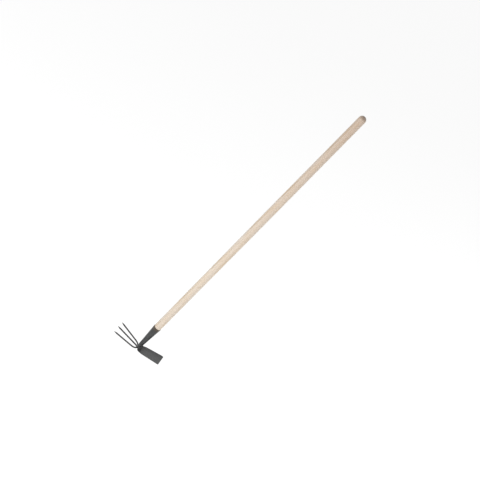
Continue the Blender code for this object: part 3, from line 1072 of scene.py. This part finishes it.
        # painted shade on the inner face, in the hollow of the heel
        in_hollow = smoothstep((run - self.socket_length) / self.opening_above_heel)
        inside = mix(shading_and_wear.hollow * in_hollow, blade, on_blade)
        # painted shade on the outer face, from above the heel to the crease, most at the wings' rims
        heel = smoothstep((run - self.socket_length) / shading_and_wear.heel_fade + shading_and_wear.heel_lead) * (1 - on_blade)
        near_rim = smoothstep((np.abs(across) - shading_and_wear.wing_from) / shading_and_wear.wing_fade)
        outside = heel * mix(shading_and_wear.outside, shading_and_wear.wing, near_rim)
        to_side = self.half_width(run) - np.abs(across)
        to_end = np.minimum(run, self.sheet_end - run)
        rim = 1 - smoothstep(np.minimum(to_side, to_end) / shading_and_wear.worn_rim)
        # painted light, most on the near half of the blade's upper face
        painted_light_share = np.clip(shading_and_wear.painted_light_share - shading_and_wear.painted_light_slant * side, 0, 1)
        return {
            Mark.RIM: rim * (1 - heel),
            Mark.PAINTED_SHADE: mix(outside, inside, inner),
            Mark.PAINTED_LIGHT: inner * on_blade * past_root * painted_light_share,
        }

    def build(self, material: bpy.types.Material, screw: SocketScrew) -> None:
        """Make the head, punch its hole and dress it.

        Args:
            material: the lacquer.
            screw: the screw that the hole is for.
        """
        run, inset = (column[:, None] for column in self.rows())
        across, depth = self.section(run, inset)
        sunk = (self.wave(run, across) - depth)[..., None] * self.outward(run, across)
        points = self.outer_face(run, across) + sunk
        points[..., 2] += self.cone.mouth_height
        head = skin_with_folded_ends(points).as_object("pressed_head")
        for mark, share in self.marks(run, across, depth).items():
            share = np.broadcast_to(share, depth.shape).ravel().astype(np.float32)
            head.data.attributes.new(mark.value, "FLOAT", "POINT").data.foreach_set("value", share)
        bore(head, screw.drill(self.hole_radius, self.cone.mouth_radius / 2))
        finish_piece(head, material, "hoe_head")


@dataclass
class Tines:
    """Two outer tines bent from one rod into a U, and a straight middle tine above its plane."""

    head: PressedHead
    radius: float = 2.6 * MM
    rise: float = math.radians(3.1)
    seat_angle: float = math.radians(59.4)
    weld_root: float = 2.6 * MM
    outer_reach: float = 92.29 * MM
    splay: float = math.radians(11.9)
    bend_radius: float = 23.2 * MM
    middle_reach: float = 94.6 * MM
    step_up: float = 1.3 * MM
    point_length: float = 10 * MM
    point_end: float = 0.16  # share of the radius left at the point
    point_fullness: float = 0.75  # below 1 the point's flanks bulge
    butt_break: float = 0.3 * MM
    sides: int = 40
    nose_start: float = 0.12  # turn of the nose's first ring
    nose_rows: int = 7
    point_start: float = 0.06  # share of the point where the nose meets it, before crowding
    point_crowding: float = 1.3  # above 1 the rings lie closer near the tip
    point_rows: int = 16
    plain_rows: int = 24
    bend_rows: int = 73

    def __post_init__(self) -> None:
        """Work out the turn about Y by the rise, and the rod's centre at the bottom of the U."""
        sine, cosine = math.sin(self.rise), math.cos(self.rise)
        self.turn = np.array([[cosine, 0.0, sine], [0.0, 1.0, 0.0], [-sine, 0.0, cosine]])
        self.seat_out = np.array([-math.cos(self.seat_angle), 0.0, -math.sin(self.seat_angle)])
        self.heel_centre = self.head.cone.mouth_height * UP + self.head.heel_centre
        reach = self.head.heel_radius + self.weld_root + self.radius
        self.seat = self.heel_centre + reach * self.seat_out

    def placed(self, points: np.ndarray) -> np.ndarray:
        """Turn and move points of the tines' plane, with x from the bottom of the U, to their place."""
        return points @ self.turn.T + self.seat

    def butt(self) -> np.ndarray:
        """Centre of the middle tine's inner end, in the tines' plane, one fit gap off the rod of the U."""
        back = math.sqrt((self.bend_radius - self.radius) ** 2 - self.radius ** 2) - self.bend_radius
        return np.array([back - self.head.cone.fit_gap, 0.0, self.step_up])

    def bend(self, angle: np.ndarray) -> np.ndarray:
        """Follow the U's bend: a circle about a centre one bend radius behind its bottom."""
        return vectors(self.bend_radius * (np.cos(angle) - 1), self.bend_radius * np.sin(angle), 0.0)

    def rod_end(self, end: RodEnd) -> tuple[np.ndarray, np.ndarray]:
        """Shape a rod's end.

        A point widens by a power of the distance from its tip, behind a small rounded nose. A sheared end
        has a quarter circle at its edge.

        Args:
            end: how it is finished.

        Returns:
            Distances from the end and the radius at each.
        """
        if end is RodEnd.SHEARED:
            distance, inset = rounded(self.butt_break, self.nose_rows, self.nose_start)
            return distance, self.radius - inset
        tip = self.point_end * self.radius
        nose = np.linspace(self.nose_start, QUARTER, self.nose_rows)
        share = np.linspace(self.point_start, 1, self.point_rows) ** self.point_crowding
        distance = self.point_length * share
        law = self.radius * mix(self.point_end, 1.0, share ** self.point_fullness)
        nose_distance = distance[0] * (1 - np.cos(nose))
        nose_law = tip + (law[0] - tip) * (1 - np.cos(nose))
        distance = np.concatenate([nose_distance, distance[1:]])
        return distance, np.concatenate([nose_law * np.sin(nose), law[1:]])

    def rod(self, path: np.ndarray, radius: np.ndarray, first: np.ndarray, last: np.ndarray) -> Skin:
        """Carry the rod's circle along a path in the tines' plane, closed at a first and a last point."""
        rings = rings_along(path, radius, self.sides)
        return skin_with_poles(self.placed(rings), self.placed(first), self.placed(last))

    def outer_rod(self) -> Skin:
        """Model the U: a pointed straight arm, the bend, and the same arm mirrored.

        Returns:
            The closed rod.
        """
        turn = QUARTER - self.splay
        bend = self.bend(np.linspace(turn, -turn, self.bend_rows))
        arm = np.array([-math.cos(self.splay), math.sin(self.splay), 0.0])
        arm_length = (self.outer_reach + bend[0, 0]) / math.cos(self.splay)
        tip = bend[0] + arm * arm_length
        distance, radius = self.rod_end(RodEnd.POINTED)
        plain = np.linspace(self.point_length, arm_length, self.plain_rows)[1:-1]
        near = tip - arm * np.concatenate([distance, plain])[:, None]
        path = np.concatenate([near, bend, (near * MIRROR)[::-1]])
        full = np.full(len(path) - 2 * len(radius), self.radius)
        return self.rod(path, np.concatenate([radius, full, radius[::-1]]), tip, tip * MIRROR)

    def middle_rod(self) -> Skin:
        """Model the straight rod, from its point to its sheared butt.

        Returns:
            The closed rod.
        """
        butt = self.butt()
        tip = np.array([-self.middle_reach, 0.0, self.step_up])
        point_distance, point_radius = self.rod_end(RodEnd.POINTED)
        butt_distance, butt_radius = self.rod_end(RodEnd.SHEARED)
        length = butt[0] - tip[0]
        plain = np.linspace(self.point_length, length - butt_distance[-1], self.plain_rows)[1:-1]
        distance = np.concatenate([point_distance, plain, length - butt_distance[::-1]])
        radius = np.concatenate([point_radius, np.full(len(plain), self.radius), butt_radius[::-1]])
        return self.rod(tip + distance[:, None] * np.array([1.0, 0.0, 0.0]), radius, tip, butt)

    def build(self, material: bpy.types.Material) -> None:
        """Make both rods and dress them in the lacquer."""
        finish_piece(self.outer_rod().as_object("outer_tine_rod"), material, "outer_tines")
        finish_piece(self.middle_rod().as_object("middle_tine_rod"), material, "middle_tine")


@dataclass(frozen=True)
class Bead:
    """Size and place of one fillet bead of the weld."""

    half_length: float
    radius: float
    offset: float  # round the heel from the rod's middle, towards the blade
    toward_rod: float  # share of the way from the heel's face to the rod's centre


@dataclass
class Weld:
    """Rippled fillet beads along both sides of the U's bottom, and a collar round the middle tine's butt."""

    tines: Tines
    upper: Bead = Bead(half_length=8.6 * MM, radius=2.7 * MM, offset=-2.7 * MM, toward_rod=0.42)
    lower: Bead = Bead(half_length=11.4 * MM, radius=3.5 * MM, offset=3.9 * MM, toward_rod=0.425)
    face_radius: float = 27 * MM  # of the heel's outer face, across the back
    ripple_pitch: float = 1.7 * MM
    ripple_depth: float = 0.09  # share of the radius
    collar_radius: float = 4.1 * MM
    collar_reach: float = 4.6 * MM
    collar_lap: float = 0.6 * MM  # of its middle past the butt
    last_ring: float = 0.985  # share of the half length
    pole_step: float = 0.01  # of the half length, from the last ring to the pole
    bead_rows: int = 90
    collar_rows: int = 60
    sides: int = 36
    voxel: float = 0.28 * MM

    def rippled(self, share: np.ndarray, along: np.ndarray) -> np.ndarray:
        """Radius of a run of weld: the root of one less the share squared, less an absolute sine's waves."""
        ripple = 1 - self.ripple_depth * (1 - np.abs(np.sin(math.pi * along / self.ripple_pitch)))
        return np.sqrt(1 - share ** 2) * ripple

    def bead(self, bead: Bead) -> Skin:
        """Model one bead: a circle carried along the groove, with ripples, that thins to its ends.

        The groove's middle line lies between the rod's centre line and the heel's face, which falls away
        from it by the square of the distance across.

        Args:
            bead: its size and place.

        Returns:
            The closed bead.
        """
        tines = self.tines
        share = np.linspace(-self.last_ring, self.last_ring, self.bead_rows)
        y = share * bead.half_length
        rod_x = np.sqrt(tines.bend_radius ** 2 - y ** 2) - tines.bend_radius
        rod = tines.placed(vectors(rod_x, y, 0.0))
        from_centre = tines.head.heel_radius - y ** 2 / (2 * self.face_radius)
        face = tines.heel_centre + from_centre[:, None] * tines.seat_out + vectors(0.0, y, 0.0)
        down_heel = np.array([-tines.seat_out[2], 0.0, tines.seat_out[0]])
        path = mix(face, rod, bead.toward_rod) + bead.offset * down_heel
        rings = rings_along(path, bead.radius * self.rippled(share, y), self.sides)
        step = np.array([0.0, self.pole_step * bead.half_length, 0.0])
        return skin_with_poles(rings, path[0] - step, path[-1] + step)

    def collar(self) -> Skin:
        """Model the collar: a ball about the butt, drawn out along the tine, with ripples round it.

        Returns:
            The closed collar.
        """
        share = np.linspace(-self.last_ring, self.last_ring, self.collar_rows)
        butt = self.tines.butt()
        along = butt[0] + self.collar_lap + share * self.collar_reach
        path = vectors(along, 0.0, butt[2])
        rings = rings_along(path, self.collar_radius * self.rippled(share, along), self.sides)
        placed = self.tines.placed
        step = np.array([self.pole_step * self.collar_reach, 0.0, 0.0])
        return skin_with_poles(placed(rings), placed(path[0] - step), placed(path[-1] + step))

    def build(self, material: bpy.types.Material) -> None:
        """Fuse the beads and the collar into one skin and dress it.

        Args:
            material: the lacquer over the weld.
        """
        beads = self.bead(self.upper).joined(self.bead(self.lower))
        weld = beads.joined(self.collar()).as_object("weld_bead")
        reshape(weld, "REMESH", mode="VOXEL", voxel_size=self.voxel, use_smooth_shade=True)
        finish_piece(weld, material, "tine_weld")


def stand(
    data: bpy.types.Light | bpy.types.Camera, centre: np.ndarray, arm: np.ndarray, roll: float = 0.0
) -> bpy.types.Object:
    """Stand a lamp or a camera at the end of an arm from a centre, and turn it to face that centre.

    Args:
        data: the lamp or the camera.
        centre: what it faces.
        arm: the way from there to its place.
        roll: its turn about the arm, from level.

    Returns:
        The object, linked to the scene.
    """
    obj = bpy.data.objects.new(data.name, data)
    obj.location = centre + arm
    obj.rotation_euler = (Vector(arm).to_track_quat("Z", "Y") @ Quaternion((0, 0, 1), roll)).to_euler()
    bpy.context.scene.collection.objects.link(obj)
    return obj


@dataclass(frozen=True)
class Lamp:
    """One large soft square lamp."""

    name: str
    share: float  # of the light that renders a colour as it is written
    from_way: Triple  # direction from the tool to the lamp


@dataclass
class Studio:
    """Pale floor, even light from all round, two soft lamps in front and one behind, and the camera.

    The camera stands far off with a long lens, as the photograph has next to no perspective.
    """

    lowest: float
    floor_drop: float = 0.35
    floor_radius: float = 9.0
    floor_sides: int = 96
    floor_colour: str = "#F4F4F4"
    floor_lift: float = 0.6  # what the camera sees of it over its own colour
    floor_fade: Band = (0.3, 0.8)  # of its radius, where it fades to white
    sky: float = 0.32
    lamp_size: float = 2.2
    lamp_distance: float = 3.4
    lamps: tuple[Lamp, ...] = (
        Lamp("left_lamp", 0.455, (-0.62, -0.78, 0.12)),
        Lamp("right_lamp", 0.28, (0.62, -0.78, 0.12)),
        Lamp("back_lamp", 0.30, (0.9, 0.5, -0.1)),
    )
    azimuth: float = math.radians(-1.8015)
    elevation: float = math.radians(29.9173)
    roll: float = math.radians(44.5650)
    camera_distance: float = 40.0
    lens: float = 908.84
    clip: Band = (1.0, 100.0)
    target: Triple = (-0.00966, -0.02601, -0.49616)

    def world(self) -> None:
        """Light evenly from all round, and show pure white to the camera and in reflections."""
        world = bpy.data.worlds.new("studio")
        bpy.context.scene.world = world
        world.use_nodes = True
        world.node_tree.nodes.clear()
        recipe = Recipe(world.node_tree)
        seen = recipe.seen_by("Is Camera Ray", "Is Glossy Ray", "Is Transmission Ray")
        strength = recipe.ramp(seen, to=(self.sky, 1.0))
        light = recipe.add("Background", {"Strength": strength, "Color": (1, 1, 1, 1)})
        recipe.add("OutputWorld", {"Surface": light.outputs[0]})

    def floor(self) -> None:
        """Lay a pale disc that keeps the tool's shadow and fades to white at its rim."""
        ring = about_axis(self.floor_radius, self.lowest - self.floor_drop, self.floor_sides)
        floor = mesh_object("pale_floor", ring, [list(range(self.floor_sides))], smooth=False)
        material, recipe = new_material("pale_floor")
        paint = recipe.add("BsdfDiffuse", {"Color": self.floor_colour}).outputs[0]
        lift = recipe.number("MULTIPLY", recipe.seen_by("Is Camera Ray", "Is Glossy Ray"), self.floor_lift)
        glow = recipe.add("Emission", {"Strength": lift}).outputs[0]
        lifted = recipe.add("AddShader", {0: paint, 1: glow}).outputs[0]
        white = recipe.add("Emission", {"Strength": 1.0}).outputs[0]
        flat = recipe.add("VectorMath", {0: recipe.place(), 1: (1, 1, 0)}, operation="MULTIPLY").outputs[0]
        reach = recipe.add("VectorMath", {0: flat}, operation="LENGTH").outputs["Value"]
        start, end = self.floor_fade
        fade = recipe.ramp(reach, (start * self.floor_radius, end * self.floor_radius))
        surface = recipe.add("MixShader", {0: fade, 1: lifted, 2: white}).outputs[0]
        recipe.add("OutputMaterial", {"Surface": surface})
        floor.data.materials.append(material)
        floor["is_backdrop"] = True

    def hang_lamps(self) -> None:
        """Hang the lamps, each of which gives its share of the light on a surface that faces it.

        A lamp of P watts at a distance d adds P / (pi * d) ** 2, where 1 renders a colour as it is written.
        """
        for lamp in self.lamps:
            data = bpy.data.lights.new(lamp.name, "AREA")
            data.shape, data.size = "SQUARE", self.lamp_size
            data.energy = lamp.share * (math.pi * self.lamp_distance) ** 2
            stand(data, self.target[2] * UP, unit(np.array(lamp.from_way)) * self.lamp_distance)

    def set_camera(self) -> None:
        """Set the camera at the photograph's viewing angle."""
        data = bpy.data.cameras.new("photograph")
        data.lens = self.lens
        data.clip_start, data.clip_end = self.clip
        level = math.cos(self.elevation)
        way = [level * math.sin(self.azimuth), -level * math.cos(self.azimuth), math.sin(self.elevation)]
        arm = self.camera_distance * np.array(way)
        bpy.context.scene.camera = stand(data, np.array(self.target), arm, self.roll)

    def build(self) -> None:
        """Set up light, floor and camera."""
        bpy.context.scene.view_settings.view_transform = "Standard"
        self.world()
        self.floor()
        self.hang_lamps()
        self.set_camera()
        LOG.info("studio: floor %.2f m below the tool", self.floor_drop)


def main() -> None:
    """Build the tool's pieces in order, then the studio."""
    logging.basicConfig(level=logging.INFO, format="%(name)s %(message)s")
    cad_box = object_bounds()
    cone = SocketCone()
    screw = SocketScrew(cone)
    head = PressedHead(cone)
    tines = Tines(head)
    steel = BlackLacquer().material(cone.mouth_height)
    weld_steel = BlackLacquer(
        name=Slot.WELD.value, body="#545555", cloud=Layer("#7C7D7B", (0.35, 0.68)), cloud_size=2.5 * MM,
        speck_size=0.5 * MM, roughness=0.3, gloss=0.6, bump=0.08 * MM,
    ).material(cone.mouth_height)
    Handle(cone).build(ClearAsh(), screw)
    head.build(steel, screw)
    tines.build(steel)
    Weld(tines).build(weld_steel)
    screw.build(ZincPlate())
    Studio(lowest=cad_box[0][2]).build()


if __name__ == "__main__":
    main()
